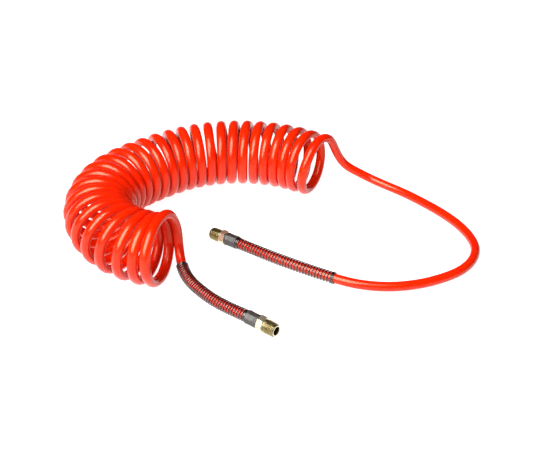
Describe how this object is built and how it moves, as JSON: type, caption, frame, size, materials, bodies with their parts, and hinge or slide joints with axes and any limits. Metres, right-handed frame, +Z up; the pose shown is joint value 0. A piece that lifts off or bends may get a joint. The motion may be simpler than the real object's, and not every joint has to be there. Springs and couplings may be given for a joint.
{
  "type": "coiled air hose",
  "caption": "Coiled plastic air hose lying in a C, with a spring guard, a crimped ferrule and a swivelling male pipe fitting on each end.",
  "frame": {"origin": "on the surface that the hose lies on, under the middle of its outline", "axes": "+X to the right along the outline's longest side, +Y towards the back of the C, +Z up from the surface"},
  "size_m": [0.4468, 0.3464, 0.0779],
  "materials": {
    "hose": "glossy, slightly translucent red-orange polyurethane",
    "spring_wire": "dull grey-brown spring steel wire",
    "ferrule": "plain grey steel with crimp marks",
    "fitting": "pale yellow brass, turned",
    "stem": "turned brass",
    "washer": "natural acetal",
    "seal": "black nitrile"
  },
  "bodies": {
    "hose": {"hose_coil": "hose", "long_hose_end": "hose", "short_hose_end": "hose", "long_spring_guard": "spring_wire", "long_ferrule": "ferrule", "long_barbed_stem": "stem", "long_thrust_washer": "washer", "long_o_ring": "seal", "short_spring_guard": "spring_wire", "short_ferrule": "ferrule", "short_barbed_stem": "stem", "short_thrust_washer": "washer", "short_o_ring": "seal"},
    "long_swivel": {"long_swivel_fitting": "fitting"},
    "short_swivel": {"short_swivel_fitting": "fitting"}
  },
  "joints": [
    {"name": "long_end_swivel", "type": "hinge", "parent": "hose", "child": "long_swivel", "pos_m": [-0.0488, -0.0092, 0.00715], "axis": [-0.8192, 0.5736, 0], "continuous": true},
    {"name": "short_end_swivel", "type": "hinge", "parent": "hose", "child": "short_swivel", "pos_m": [-0.0118, -0.156, 0.00715], "axis": [0.7771, -0.6293, 0], "continuous": true}
  ]
}
